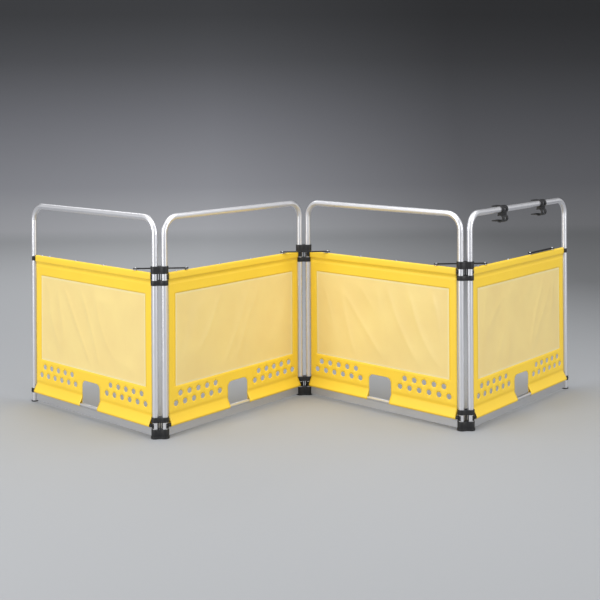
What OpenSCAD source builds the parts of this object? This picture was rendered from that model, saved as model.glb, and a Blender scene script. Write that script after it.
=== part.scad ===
// Folding four-panel work-area barrier: four hooped tube frames with welded PVC sheets,
// joined leg to leg by double-socket hinge blocks and locked by flat stay links.
// Millimetres. +X runs along the row, -Y is the face side, +Z is up. The origin is at
// floor level under the middle of the row. In a panel's own frame, x runs from its left
// leg to its right leg, -y is its face and z is up.

/* [Row] */
// Height of the hoop above the floor
panel_h = 1000; // [800:10:1300]
// Distance between the two legs of a panel, centre to centre
leg_pitch = 920; // [700:10:1400]
// Distance between neighbouring legs in a hinge block, centre to centre
hinge_pitch = 43; // [42:1:54]
// Turn from each panel to the next, 90 for a square corner
turn = 90; // [70:5:100]

/* [Tube] */
// Outside diameter of the hoop tube
tube_d = 28; // [24:0.5:28]
// Wall of the hoop tube
tube_wall = 1.8; // [1.2:0.1:3]
// Centreline radius of the hoop's top corners
corner_r = 72; // [50:1:120]
// Height of the leg ends above the floor
leg_lift = 5; // [4:0.5:8]

/* [Sheet supports] */
// Height of the top bar's middle above the floor
bar_z = 722; // [600:1:900]
// Thickness of the flat-sided top bar
bar_t = 14; // [12:0.5:16]
// Height of the top bar's section
bar_h = 32; // [24:1:36]
// Height of the bottom rod's axis above the floor
rod_z = 57; // [50:1:70]
// Diameter of the bottom rod
rod_d = 16; // [12:0.5:16]
// Distance of the bottom rod in front of the legs' plane
rod_forward = 12; // [10:0.5:12]
// Wall of the top bar and of the bottom rod
bar_wall = 1.5; // [1:0.1:2]
// Gap between a leg's axis and the ends of the bar, rod, sheet and board
end_gap = 20; // [20:1:26]

/* [Sheet] */
// Thickness of the PVC sheet
sheet_t = 1; // [0.6:0.1:1.2]
// Clearance between a hem and the bar or rod inside it
hem_gap = 0.2; // [0.1:0.1:0.4]
// Height of the bottom hem's weld above the floor
hem_weld_z = 92; // [85:1:120]
// Distance of the bottom hem's weld behind the rod's axis
weld_back = 9; // [4:0.5:16]
// Distance of the window from the sheet's left and right edges
window_side = 42; // [30:1:90]
// Height of the window's lower edge above the floor
window_low = 220; // [190:5:260]
// Distance of the window's upper edge below the top bar's middle
window_drop = 82; // [60:1:120]
// Overlap of the window film on the sheet around its opening
film_lap = 10; // [6:1:16]
// Width of the cable cut-out in the sheet's foot
cut_w = 130; // [100:5:180]
// Height of the cable cut-out's top above the floor
cut_top = 172; // [150:1:180]
// Thickness of the window film
film_t = 0.5; // [0.3:0.1:0.8]
// Radius of the cable cut-out's top corners
cut_r = 26; // [10:1:40]

/* [Toe board] */
// Thickness of the toe board
board_t = 2; // [1.5:0.1:3]
// Height of the toe board's lower edge above the floor
board_low = 8; // [5:1:15]
// Height of the toe board's upper edge above the rod's axis
board_over = 6; // [5:0.5:7]
// Number of rivets along the toe board
rivet_count = 6; // [4:1:10]

/* [End fittings] */
// Height of an end fitting's saddle on the leg
saddle_h = 22; // [16:1:24]
// Thickness of the saddle's wall
saddle_t = 3; // [2.5:0.1:3.4]
// Clearance between a fitting and what it seats on
seat_gap = 0.1; // [0.05:0.05:0.2]
// Depth that a fitting's spigot reaches into the bar or rod
spigot_l = 22; // [15:1:40]
// Radius of a screw's shank
screw_r = 2; // [1.5:0.1:2.5]

/* [Hinge blocks] */
// Wall of a hinge block around its legs
block_wall = 4.4; // [3.5:0.1:4.8]
// Radial running clearance between a hinge block and a leg
turn_gap = 0.06; // [0.02:0.01:0.1]
// Height of a top block's upper band
band_h = 34; // [25:1:45]
// Height of a top block's lower band
collar_h = 23; // [18:1:40]
// Height of the open middle where the end fittings turn
slot_h = 30; // [26:1:36]
// Thickness of the web that joins a block's bands, thin enough for a folding leg's screws
web_t = 3.5; // [3:0.5:4]

/* [Stay links] */
// Distance of the link's pivot from the right leg, and of its catch stud from the left leg
stay_reach = 132; // [110:1:160]
// Distance of the wide-corner stud from the left leg
wide_stud = 70; // [50:1:90]
// Distance of the middle stud from the left leg
middle_stud = 343; // [300:1:400]
// Width of a stay link
link_w = 22; // [16:1:26]
// Thickness of a stay link
link_t = 4.5; // [2:0.5:5]
// Radius of a stud's head
stud_r = 5.5; // [4.5:0.5:7]
// Height of a stud's head above the sheet
stud_h = 4; // [3:0.5:6]
// Radius of a stud's shank and of the link's pivot post
post_r = 3; // [2.5:0.1:3.5]
// Gap between a link and the stud heads below it
link_gap = 1; // [0.5:0.5:3]

/* [Double clips] */
// Length of a double clip along the rail
clip_l = 50; // [30:1:60]
// Wall of a clip's rings
clip_wall = 5; // [3:0.5:5]
// Half of the angle that a ring's mouth opens through
mouth_half = 50; // [40:1:60]
// Length of a clip's flared lips
lip_l = 30; // [15:1:40]
// Slope of a clip's flared lips
lip_slope = 2; // [0:1:20]
// Distance of the first clip from the last panel's left leg
clip_1_x = 290; // [220:5:400]
// Distance of the second clip from the last panel's left leg
clip_2_x = 670; // [450:5:700]

/* [Feet] */
// Radius of an outer leg's foot cap
foot_r = 17; // [15:0.5:18]
// Length of the cap's plug inside the leg
plug_l = 25; // [15:1:40]

/* [Hidden] */
$fn = 64;
PANELS = 4;
EPS = 0.01;
arc_step = 15;
half_turn = turn / 2;
tube_r = tube_d / 2;
rail_z = panel_h - tube_r;
row_step = leg_pitch * cos(half_turn) + hinge_pitch;
row_x = -(PANELS * leg_pitch * cos(half_turn) + (PANELS - 1) * hinge_pitch) / 2;
row_depth = leg_pitch * sin(half_turn);
bar_x = end_gap;
bar_l = leg_pitch - 2 * end_gap;
bar_top = bar_z + bar_h / 2;
hem_out = hem_gap + sheet_t;
sheet_top = bar_top + hem_out;
rod_r = rod_d / 2;
window_top = bar_z - window_drop;
weld_y = -rod_forward + weld_back;
board_y = -rod_forward + rod_r + hem_out;
saddle_r = tube_r + seat_gap;
block_r = tube_r + block_wall;
bore_r = tube_r + turn_gap;
slot_low = rod_z - slot_h / 2;
stay_l = hinge_pitch + 2 * stay_reach * cos(half_turn);
pivot_x = leg_pitch - stay_reach;
park_x = pivot_x - stay_l;
stud_places = [wide_stud, stay_reach, middle_stud, park_x];
head_z = sheet_top + stud_h;
link_z = head_z + link_gap;
link_top = link_z + link_t;
cap_h = 3;
head_taper = 0.7;
screw_head_r = 4;
screw_head_h = 2;
screw_l = 6;
rivet_r = 2;
rivet_head_r = 4;
rivet_head_h = 2;
rivet_margin = 50;
rivet_reach = 5;
clip_r = tube_r + seat_gap;
clip_out = clip_r + clip_wall;
top_screw_turn = -62;
low_screw_turn = -90;
neck_r = tube_r + seat_gap + saddle_t / 2;
neck_inset = 1;
top_saddle_half = 78;
low_saddle_from = -110;
low_saddle_to = -28;
web_inset = 5;
hem_back_end = -70;
hem_face_end = 250;
rod_hem_end = 400;

// ---- placing ----

// Heading of a panel: odd ones come forward, even ones go back
function heading(n) = n % 2 == 1 ? -half_turn : half_turn;

// Places children in panel n's own frame
module on_panel(n) {
    translate([row_x + (n - 1) * row_step, (n % 2 == 1 ? 1 : -1) * row_depth / 2, 0])
        rotate([0, 0, heading(n)]) children();
}

// Places children at both ends of a panel, mirrored at the right one
module both_ends() {
    children();
    translate([leg_pitch, 0, 0]) mirror([1, 0, 0]) children();
}

// Places children in the frame of the hinge block between panels n and n + 1:
// x runs from one leg to the next, from the first leg's axis
module on_hinge(n) {
    translate([row_x + n * row_step - hinge_pitch, (n % 2 == 1 ? -1 : 1) * row_depth / 2, 0])
        children();
}

// Lays a profile drawn in y and z along a panel's x, from x to x + len
module along_x(x, len) {
    translate([x, 0, 0]) rotate([90, 0, 90]) linear_extrude(len) children();
}

// ---- shared profiles ----

// Upright flat-sided oval of a width and a height, centred
module flat_oval(w, h) {
    square([w, h - w], center = true);
    for (side = [-1, 1]) translate([0, side * (h - w) / 2]) circle(w / 2);
}

// Section of the round tube
module tube_section() {
    difference() {
        circle(tube_r);
        circle(tube_r - tube_wall);
    }
}

// Points on an arc about c from angle a0 to a1
function arc(c, r, a0, a1) = let (steps = ceil(abs(a1 - a0) / arc_step))
    [for (i = [0 : steps]) let (a = a0 + (a1 - a0) * i / steps) c + r * [cos(a), sin(a)]];

// Unit vector square to a path at point i
function across(path, i) = let (last = len(path) - 1,
        d = path[min(i + 1, last)] - path[max(i - 1, 0)])
    [-d[1], d[0]] / norm(d);

// Outline of a strip of thickness t along a path
function strip(path, t) = let (last = len(path) - 1)
    concat([for (i = [0 : last]) path[i] + across(path, i) * t / 2],
        [for (i = [last : -1 : 0]) path[i] - across(path, i) * t / 2]);

// Middle line of the sheet in y and z, from behind the bar, over it, down and round the rod
hem_r = bar_t / 2 + hem_gap + sheet_t / 2;
arc_z = (bar_h - bar_t) / 2;
rod_hem_r = rod_r + hem_gap + sheet_t / 2;
weld_rise = hem_weld_z - rod_z;
rod_hem_start = atan2(weld_rise, weld_back) + acos(rod_hem_r / norm([weld_back, weld_rise]));
sheet_path = concat(
    arc([0, bar_z - arc_z], hem_r, hem_back_end, 0),
    arc([0, bar_z + arc_z], hem_r, 0, 180),
    arc([0, bar_z - arc_z], hem_r, 180, hem_face_end),
    [[weld_y, hem_weld_z]],
    arc([-rod_forward, rod_z], rod_hem_r, rod_hem_start, rod_hem_end));

// Section of the sheet in y and z: top hem, leaning web and bottom hem
module sheet_section() {
    polygon(strip(sheet_path, sheet_t));
}

// Middle of the leaning sheet at a height
web_top = [0, bar_z - arc_z] + hem_r * [cos(hem_face_end), sin(hem_face_end)];
function sheet_y(z) = weld_y + (web_top[0] - weld_y) * (z - hem_weld_z) / (web_top[1] - hem_weld_z);

// Cable cut-out's outline in x and z: open at the foot, round at its top corners
module cut_outline() {
    low = rod_z - 2 * rod_r;
    translate([leg_pitch / 2 - cut_w / 2, low]) square([cut_w, cut_top - cut_r - low]);
    translate([leg_pitch / 2 - cut_w / 2 + cut_r, low]) square([cut_w - 2 * cut_r, cut_top - low]);
    for (side = [-1, 1])
        translate([leg_pitch / 2 + side * (cut_w / 2 - cut_r), cut_top - cut_r]) circle(cut_r);
}

// ---- panel parts ----

// Hoop: two legs and a rail of one bent tube
module hoop(n) {
    color("gainsboro") on_panel(n) {
        both_ends() {
            difference() {
                translate([0, 0, leg_lift]) linear_extrude(rail_z - corner_r - leg_lift) tube_section();
                screw_holes();
            }
            translate([corner_r, 0, rail_z - corner_r]) rotate([90, 0, 0]) rotate([0, 0, 90])
                rotate_extrude(angle = 90) translate([corner_r, 0]) tube_section();
        }
        along_x(corner_r, leg_pitch - 2 * corner_r) translate([0, rail_z]) tube_section();
    }
}

// Holes for the two screws of a leg's fittings
module screw_holes() {
    screw_axis(bar_z, top_screw_turn) translate([0, 0, -screw_l]) cylinder(r = screw_r, h = 2 * screw_l);
    screw_axis(rod_z, low_screw_turn) translate([0, 0, -screw_l]) cylinder(r = screw_r, h = 2 * screw_l);
}

// Flat-sided tubular bar that carries the sheet's top hem
module top_bar(n) {
    color("silver") on_panel(n) difference() {
        along_x(bar_x, bar_l) translate([0, bar_z]) difference() {
            flat_oval(bar_t, bar_h);
            flat_oval(bar_t - 2 * bar_wall, bar_h - 2 * bar_wall);
        }
        for (x = concat(stud_places, [pivot_x]))
            translate([x, 0, bar_z]) cylinder(r = post_r, h = bar_h);
    }
}

// Tubular rod in the sheet's bottom hem
module bottom_rod(n) {
    color("silver") on_panel(n) difference() {
        along_x(bar_x, bar_l) translate([-rod_forward, rod_z]) difference() {
            circle(rod_r);
            circle(rod_r - bar_wall);
        }
        rivet_holes();
    }
}

// Holes for the rivets that hold the toe board to the rod
module rivet_holes() {
    for (i = [0 : rivet_count - 1])
        translate([rivet_x(i), -rod_forward, rod_z]) rotate([-90, 0, 0])
            cylinder(r = rivet_r, h = 4 * rod_r);
}

// Place of rivet i, clear of the cable cut-out
function rivet_x(i) = let (half = rivet_count / 2,
        run = (leg_pitch - cut_w) / 2 - end_gap - 2 * rivet_margin,
        k = i < half ? i : rivet_count - 1 - i,
        x = end_gap + rivet_margin + run * k / (ceil(half) - 1))
    i < half ? x : leg_pitch - x;

// Part ring that hugs a leg, from angle a0 to a1 measured from the panel's +x
module saddle(z, a0, a1) {
    translate([0, 0, z - saddle_h / 2]) rotate([0, 0, a0])
        rotate_extrude(angle = a1 - a0) translate([saddle_r, 0]) square([saddle_t, saddle_h]);
}

// Screw hole through a saddle and into the leg at an angle from the panel's +x
module screw_axis(z, a) {
    translate([0, 0, z]) rotate([0, 0, a]) translate([saddle_r + saddle_t, 0, 0])
        rotate([0, 90, 0]) children();
}

// Fitting at the left end of the top bar
module top_fitting() {
    difference() {
        union() {
            saddle(bar_z, -top_saddle_half, top_saddle_half);
            difference() {
                along_x(tube_r / 2, end_gap - tube_r / 2 - seat_gap)
                    translate([0, bar_z]) square([bar_t, saddle_h], center = true);
                translate([0, 0, bar_z - bar_h]) cylinder(r = neck_r, h = 2 * bar_h);
            }
            along_x(end_gap - 2 * seat_gap, spigot_l) translate([0, bar_z])
                square([bar_t - 2 * bar_wall - 1, saddle_h - 4], center = true);
        }
        screw_holes();
    }
}

// Fitting at the left end of the bottom rod
module low_fitting() {
    difference() {
        union() {
            saddle(rod_z, low_saddle_from, low_saddle_to);
            difference() {
                along_x(tube_r / 2, end_gap - tube_r / 2 - seat_gap)
                    translate([-rod_forward, rod_z]) circle(rod_r - neck_inset);
                translate([0, 0, rod_z - 2 * rod_r]) cylinder(r = neck_r, h = 4 * rod_r);
            }
            along_x(end_gap - 2 * seat_gap, spigot_l) translate([-rod_forward, rod_z])
                circle(rod_r - bar_wall - seat_gap);
        }
        screw_holes();
    }
}

// Four fittings that hold a panel's bar and rod to its legs
module end_fittings(n) {
    color("#26262a") on_panel(n) both_ends() {
        top_fitting();
        low_fitting();
    }
}

// Pan-head screw with its head's underside at z = 0
module pan_screw() {
    cylinder(r1 = screw_head_r, r2 = screw_head_r * head_taper, h = screw_head_h);
    translate([0, 0, -screw_l]) cylinder(r = screw_r, h = screw_l + EPS);
}

// Screws that hold the fittings to the legs
module fitting_screws(n) {
    color("#3a3a3e") on_panel(n) both_ends() {
        screw_axis(bar_z, top_screw_turn) pan_screw();
        screw_axis(rod_z, low_screw_turn) pan_screw();
    }
}

// PVC sheet with a closed hem round the bar and one round the rod
module sheet(n) {
    color("#ffd23c") on_panel(n) difference() {
        along_x(bar_x, bar_l) sheet_section();
        translate([0, 4 * rod_d, 0]) rotate([90, 0, 0]) linear_extrude(8 * rod_d) cut_outline();
        translate([bar_x + window_side, -2 * rod_d, window_low])
            cube([bar_l - 2 * window_side, 4 * rod_d, window_top - window_low]);
        for (x = concat(stud_places, [pivot_x]))
            translate([x, 0, bar_z]) cylinder(r = post_r, h = bar_h);
        rivet_holes();
    }
}

// Clear film welded on the back of the sheet round its opening
module window(n) {
    low = window_low - film_lap;
    high = window_top + film_lap;
    color("#f5d98c", 0.7) on_panel(n)
        along_x(bar_x + window_side - film_lap, bar_l - 2 * window_side + 2 * film_lap)
            translate([sheet_t / 2 + EPS, 0]) polygon([[sheet_y(low), low], [sheet_y(high), high],
                [sheet_y(high) + film_t, high], [sheet_y(low) + film_t, low]]);
}

// Toe board riveted to the rod behind the hem
module toe_board(n) {
    color("darkgray") on_panel(n) difference() {
        translate([end_gap, board_y, board_low])
            cube([bar_l, board_t, rod_z + board_over - board_low]);
        rivet_holes();
    }
}

// Rivets through the board and the hem into the rod
module board_rivets(n) {
    color("gainsboro") on_panel(n)
        for (i = [0 : rivet_count - 1])
            translate([rivet_x(i), board_y + board_t, rod_z]) rotate([-90, 0, 0]) {
                cylinder(r1 = rivet_head_r, r2 = rivet_head_r * head_taper, h = rivet_head_h);
                translate([0, 0, -rivet_reach]) cylinder(r = rivet_r, h = rivet_reach + EPS);
            }
}

// Studs on the top bar, and the tall post that the stay link turns on
module studs(n) {
    shank = bar_wall + hem_out;
    color("gainsboro") on_panel(n) {
        for (x = stud_places) translate([x, 0, sheet_top]) {
            cylinder(r1 = stud_r, r2 = stud_r * head_taper, h = stud_h);
            translate([0, 0, -shank]) cylinder(r = post_r, h = shank + EPS);
        }
        translate([pivot_x, 0, sheet_top]) {
            post_h = link_top - sheet_top + seat_gap;
            cylinder(r = stud_r, h = link_z - sheet_top - seat_gap);
            translate([0, 0, -shank]) cylinder(r = post_r, h = shank + post_h + EPS);
            translate([0, 0, post_h]) cylinder(r1 = stud_r, r2 = stud_r * head_taper, h = cap_h);
        }
    }
}

// Angle of stay link n in its panel's frame: the last one is parked, the others cross
// their corner in line with the row
function link_angle(n) = n == PANELS ? 180 : -heading(n);

// Places children at link n's pivot, with x along the link
module on_link(n) {
    on_panel(n) translate([pivot_x, 0, link_z]) rotate([0, 0, link_angle(n)]) children();
}

// Flat strip with round ends, a pivot hole and a hole for its snap
module stay_link(n) {
    color("#232326") on_link(n) linear_extrude(link_t) difference() {
        union() {
            translate([0, -link_w / 2]) square([stay_l, link_w]);
            for (x = [0, stay_l]) translate([x, 0]) circle(link_w / 2);
        }
        circle(post_r + turn_gap);
        translate([stay_l, 0]) circle(post_r);
    }
}

// Snap pressed in the link's free end, just above the stud it catches
module link_snap(n) {
    color("gainsboro") on_link(n) translate([stay_l, 0, 0]) {
        cylinder(r = post_r, h = link_t + EPS);
        translate([0, 0, link_t]) cylinder(r1 = stud_r, r2 = stud_r * head_taper, h = cap_h);
    }
}

// ---- joints between panels ----

// Outline of a hinge block round its two legs, of outer radius r
module block_outline(r) {
    translate([0, -r]) square([hinge_pitch, 2 * r]);
    for (x = [0, hinge_pitch]) translate([x, 0]) circle(r);
}

// Band of a hinge block from z, with a running bore for each leg
module block_band(z, h) {
    translate([0, 0, z]) linear_extrude(h) difference() {
        block_outline(block_r);
        for (x = [0, hinge_pitch]) translate([x, 0]) circle(bore_r);
    }
}

// Web between the legs that joins a block's bands across its open middle
module block_web(z) {
    half = block_r - web_inset;
    translate([hinge_pitch / 2 - web_t / 2, -half, z - EPS]) cube([web_t, 2 * half, slot_h + 2 * EPS]);
}

// Upper hinge block, held at its height by the top fittings in its open middle
module top_hinge(n) {
    color("#1d1d20") on_hinge(n) {
        block_band(bar_z + slot_h / 2, band_h);
        block_web(bar_z - slot_h / 2);
        block_band(bar_z - slot_h / 2 - collar_h, collar_h);
    }
}

// Lower hinge block, which is also the foot of its two legs
module bottom_hinge(n) {
    color("#1d1d20") on_hinge(n) {
        linear_extrude(leg_lift) block_outline(block_r);
        block_band(leg_lift - EPS, slot_low - leg_lift + EPS);
        block_web(slot_low);
        block_band(slot_low + slot_h, collar_h);
    }
}

// Foot cap plugged in the end of an outer leg
module foot_cap() {
    cylinder(r1 = foot_r - 1, r2 = foot_r, h = 1);
    translate([0, 0, 1 - EPS]) cylinder(r = foot_r, h = leg_lift - 1 + EPS);
    cylinder(r = tube_r - tube_wall, h = leg_lift + plug_l);
}

module foot_cap_left() {
    color("#1d1d20") on_panel(1) foot_cap();
}

module foot_cap_right() {
    color("#1d1d20") on_panel(PANELS) translate([leg_pitch, 0, 0]) foot_cap();
}

// Section of one snap ring, its mouth towards +y; up is 1 or -1, where its lip flares
module ring_section(up) {
    difference() {
        circle(clip_out);
        circle(clip_r);
        polygon([[0, 0], 2 * clip_out * [cos(mouth_half), sin(mouth_half)], [2 * clip_out, 0],
            2 * clip_out * [cos(mouth_half), -sin(mouth_half)]]);
    }
    lip_root = (clip_r + clip_wall / 2) * [cos(mouth_half), up * sin(mouth_half)];
    translate(lip_root) rotate(up * lip_slope) {
        translate([0, -clip_wall / 2]) square([lip_l, clip_wall]);
        for (x = [0, lip_l]) translate([x, 0]) circle(clip_wall / 2);
    }
}

// Clip of two snap rings a hinge pitch apart, so that it also joins two folded rails
module double_clip(x) {
    tie = 2 * clip_wall;
    window_w = clip_l / 3;
    window_h = clip_r;
    color("#28282c") on_panel(PANELS) difference() {
        along_x(x - clip_l / 2, clip_l) translate([0, rail_z]) {
            ring_section(1);
            translate([0, -hinge_pitch]) ring_section(-1);
            difference() {
                translate([-tie, -hinge_pitch]) square([2 * tie, hinge_pitch]);
                for (z = [0, -hinge_pitch]) translate([0, z]) circle(clip_r + clip_wall / 2);
            }
        }
        for (z = [rail_z, rail_z - hinge_pitch])
            translate([x - window_w / 2, -2 * clip_out, z - window_h / 2])
                cube([window_w, 2 * clip_out, window_h]);
    }
}

hoop(1);  // hoop_1
hoop(2);  // hoop_2
hoop(3);  // hoop_3
hoop(4);  // hoop_4
top_bar(1);  // top_bar_1
top_bar(2);  // top_bar_2
top_bar(3);  // top_bar_3
top_bar(4);  // top_bar_4
bottom_rod(1);  // bottom_rod_1
bottom_rod(2);  // bottom_rod_2
bottom_rod(3);  // bottom_rod_3
bottom_rod(4);  // bottom_rod_4
end_fittings(1);  // end_fittings_1
end_fittings(2);  // end_fittings_2
end_fittings(3);  // end_fittings_3
end_fittings(4);  // end_fittings_4
fitting_screws(1);  // fitting_screws_1
fitting_screws(2);  // fitting_screws_2
fitting_screws(3);  // fitting_screws_3
fitting_screws(4);  // fitting_screws_4
sheet(1);  // sheet_1
sheet(2);  // sheet_2
sheet(3);  // sheet_3
sheet(4);  // sheet_4
window(1);  // window_1
window(2);  // window_2
window(3);  // window_3
window(4);  // window_4
toe_board(1);  // toe_board_1
toe_board(2);  // toe_board_2
toe_board(3);  // toe_board_3
toe_board(4);  // toe_board_4
board_rivets(1);  // board_rivets_1
board_rivets(2);  // board_rivets_2
board_rivets(3);  // board_rivets_3
board_rivets(4);  // board_rivets_4
studs(1);  // studs_1
studs(2);  // studs_2
studs(3);  // studs_3
studs(4);  // studs_4
stay_link(1);  // stay_link_1
stay_link(2);  // stay_link_2
stay_link(3);  // stay_link_3
stay_link(4);  // stay_link_4
link_snap(1);  // link_snap_1
link_snap(2);  // link_snap_2
link_snap(3);  // link_snap_3
link_snap(4);  // link_snap_4
foot_cap_left();
foot_cap_right();
top_hinge(1);  // top_hinge_12
top_hinge(2);  // top_hinge_23
top_hinge(3);  // top_hinge_34
bottom_hinge(1);  // bottom_hinge_12
bottom_hinge(2);  // bottom_hinge_23
bottom_hinge(3);  // bottom_hinge_34
double_clip(clip_1_x);  // double_clip_1
double_clip(clip_2_x);  // double_clip_2
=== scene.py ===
"""Folding four-panel work-area barrier: the visible model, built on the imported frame.

Lengths are metres in the row frame: +X runs along the row, -Y is the face side and +Z is up.
In a panel's own frame, x runs from its left leg to its right leg and -y is its face.
"""

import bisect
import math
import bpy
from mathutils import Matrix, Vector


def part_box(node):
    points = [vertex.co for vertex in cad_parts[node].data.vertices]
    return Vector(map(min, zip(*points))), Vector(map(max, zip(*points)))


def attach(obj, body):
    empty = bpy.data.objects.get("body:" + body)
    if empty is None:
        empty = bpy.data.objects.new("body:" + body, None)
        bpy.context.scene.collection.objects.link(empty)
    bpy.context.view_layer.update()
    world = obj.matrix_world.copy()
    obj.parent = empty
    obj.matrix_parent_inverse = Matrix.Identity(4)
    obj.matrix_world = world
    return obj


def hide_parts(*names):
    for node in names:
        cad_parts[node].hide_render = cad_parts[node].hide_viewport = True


bl_info = {
    "name": "Folding Barrier",
    "version": (1, 0, 0),
    "blender": (4, 5, 0),
    "location": "View3D > Sidebar > Barrier",
    "description": "Sheets, films, hinge blocks and finishes of a folding work-area barrier",
    "category": "Object",
}

import bmesh
import bpy
from bpy.props import FloatProperty, FloatVectorProperty, IntProperty, PointerProperty
from mathutils import Matrix, Vector, geometry, noise

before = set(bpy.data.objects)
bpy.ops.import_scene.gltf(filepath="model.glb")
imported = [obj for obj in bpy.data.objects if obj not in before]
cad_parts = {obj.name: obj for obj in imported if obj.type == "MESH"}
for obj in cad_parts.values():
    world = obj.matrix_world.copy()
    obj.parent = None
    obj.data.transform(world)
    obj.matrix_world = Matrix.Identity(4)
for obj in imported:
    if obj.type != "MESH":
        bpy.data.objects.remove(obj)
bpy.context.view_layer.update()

MM = 0.001
PANELS = (1, 2, 3, 4)
HINGES = ("12", "23", "34")
ARC_STEP = math.radians(9)
SHARP_ANGLE = math.radians(35)
TUBE_R = 14 * MM

BAR_LOW, BAR_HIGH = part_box("top_bar_1")
ROD_LOW, ROD_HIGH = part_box("bottom_rod_1")
FILM_LOW, FILM_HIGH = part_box("window_1")
BLOCK_LOW, BLOCK_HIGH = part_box("top_hinge_12")


def linear(code):
    """sRGB hex colour as linear red, green and blue."""
    parts = [int(code[i : i + 2], 16) / 255 for i in (1, 3, 5)]
    return tuple(p / 12.92 if p <= 0.04045 else ((p + 0.055) / 1.055) ** 2.4 for p in parts)


# ---- sizes and colours that a user would change ----


class SheetSizes(bpy.types.PropertyGroup):
    """The yellow sheets and their window films."""

    thickness: FloatProperty(
        name="Sheet thickness",
        description="Thickness of the coated fabric",
        default=1.0 * MM,
        unit="LENGTH",
    )
    film: FloatProperty(
        name="Film thickness",
        description="Thickness of the window film",
        default=0.5 * MM,
        unit="LENGTH",
    )
    slack: FloatProperty(
        name="Slack",
        description="Furthest that the sheet stands out of its plane between its hems",
        default=1.3 * MM,
        unit="LENGTH",
    )
    film_slack: FloatProperty(
        name="Film slack",
        description="Furthest that the film's wrinkles stand out of its plane",
        default=3.4 * MM,
        unit="LENGTH",
    )
    vent: FloatProperty(
        name="Vent diameter",
        description="Diameter of a round vent hole",
        default=25 * MM,
        unit="LENGTH",
    )
    vent_pitch: FloatProperty(
        name="Vent pitch",
        description="Distance between the vents of one row",
        default=55.2 * MM,
        unit="LENGTH",
    )
    weld: FloatProperty(
        name="Weld width",
        description="Width of the hot-air weld that closes a hem",
        default=12 * MM,
        unit="LENGTH",
    )
    weld_depth: FloatProperty(
        name="Weld depth",
        description="How far a weld is pressed into the sheet's face",
        default=0.5 * MM,
        unit="LENGTH",
    )
    border: FloatProperty(
        name="Film border",
        description="Width of the milky weld border round the clear film",
        default=9 * MM,
        unit="LENGTH",
    )


class FittingSizes(bpy.types.PropertyGroup):
    """The moulded hinge blocks and the stay links."""

    round_edge: FloatProperty(
        name="Block edge",
        description="Radius of a moulded hinge block's edges",
        default=1.6 * MM,
        unit="LENGTH",
    )
    waist: FloatProperty(
        name="Block waist",
        description="How far a block draws in between its two legs",
        default=4.5 * MM,
        unit="LENGTH",
    )
    foot_flare: FloatProperty(
        name="Foot flare",
        description="How far a lower block's foot stands out beyond its bands",
        default=2.0 * MM,
        unit="LENGTH",
    )
    link_edge: FloatProperty(
        name="Link edge",
        description="Radius of a stay link's rolled edges",
        default=0.7 * MM,
        unit="LENGTH",
    )
    ribs: IntProperty(
        name="Collar ribs",
        description="Number of raised ribs round each block's upper band",
        default=2,
        min=0,
        max=4,
    )


class Finishes(bpy.types.PropertyGroup):
    """The colours of the materials."""

    yellow: FloatVectorProperty(
        name="Sheet yellow",
        description="Colour of the coated fabric",
        subtype="COLOR",
        default=linear("#FFD43A"),
    )
    film: FloatVectorProperty(
        name="Film",
        description="Colour of the window film",
        subtype="COLOR",
        default=linear("#FFE092"),
    )
    border: FloatVectorProperty(
        name="Film border",
        description="Colour of the film's milky weld border",
        subtype="COLOR",
        default=linear("#FFE8A8"),
    )
    board: FloatVectorProperty(
        name="Toe board",
        description="Colour of the toe boards",
        subtype="COLOR",
        default=linear("#C2C3C6"),
    )


# ---- materials ----


def add_node(tree, kind, inputs=None, **settings):
    """Adds a node with its settings; an input takes a value or another node's output."""
    made = tree.nodes.new(kind)
    for name, value in settings.items():
        setattr(made, name, value)
    for name, value in (inputs or {}).items():
        if isinstance(value, bpy.types.NodeSocket):
            tree.links.new(value, made.inputs[name])
        else:
            made.inputs[name].default_value = value
    return made


def new_material(name, **sockets):
    """A material of that name with one shader; returns it, its node tree and the shader."""
    made = bpy.data.materials.new(name)
    made.use_nodes = True
    tree = made.node_tree
    shader = tree.nodes["Principled BSDF"]
    for socket, value in sockets.items():
        shader.inputs[socket.replace("_", " ")].default_value = value
    return made, tree, shader


def place_of(tree, scale):
    """Object coordinates in metres multiplied by scale, one number for each axis."""
    where = add_node(tree, "ShaderNodeTexCoord")
    return add_node(
        tree,
        "ShaderNodeMapping",
        {"Vector": where.outputs["Object"], "Scale": scale},
    ).outputs["Vector"]


def grain(tree, shader, scale, detail, low, high, bump):
    """Noise that drives roughness from low to high and lifts the surface by bump metres."""
    pattern = add_node(
        tree,
        "ShaderNodeTexNoise",
        {"Vector": place_of(tree, scale), "Scale": 1.0, "Detail": detail},
    )
    rough = add_node(
        tree,
        "ShaderNodeMapRange",
        {"Value": pattern.outputs["Fac"], "To Min": low, "To Max": high},
    )
    tree.links.new(rough.outputs["Result"], shader.inputs["Roughness"])
    lift = add_node(
        tree,
        "ShaderNodeBump",
        {"Height": pattern.outputs["Fac"], "Distance": bump, "Strength": 1.0},
    )
    tree.links.new(lift.outputs["Normal"], shader.inputs["Normal"])
    return pattern


def mottle(tree, shader, pattern, dark, light):
    """Lets the base colour wander between two colours with a pattern."""
    mix = add_node(
        tree,
        "ShaderNodeMix",
        {"Factor": pattern, "A": (*dark, 1), "B": (*light, 1)},
        data_type="RGBA",
    )
    tree.links.new(mix.outputs["Result"], shader.inputs["Base Color"])


def shade(colour, factor):
    """A colour made darker or lighter."""
    return tuple(min(1.0, c * factor) for c in colour)


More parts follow.
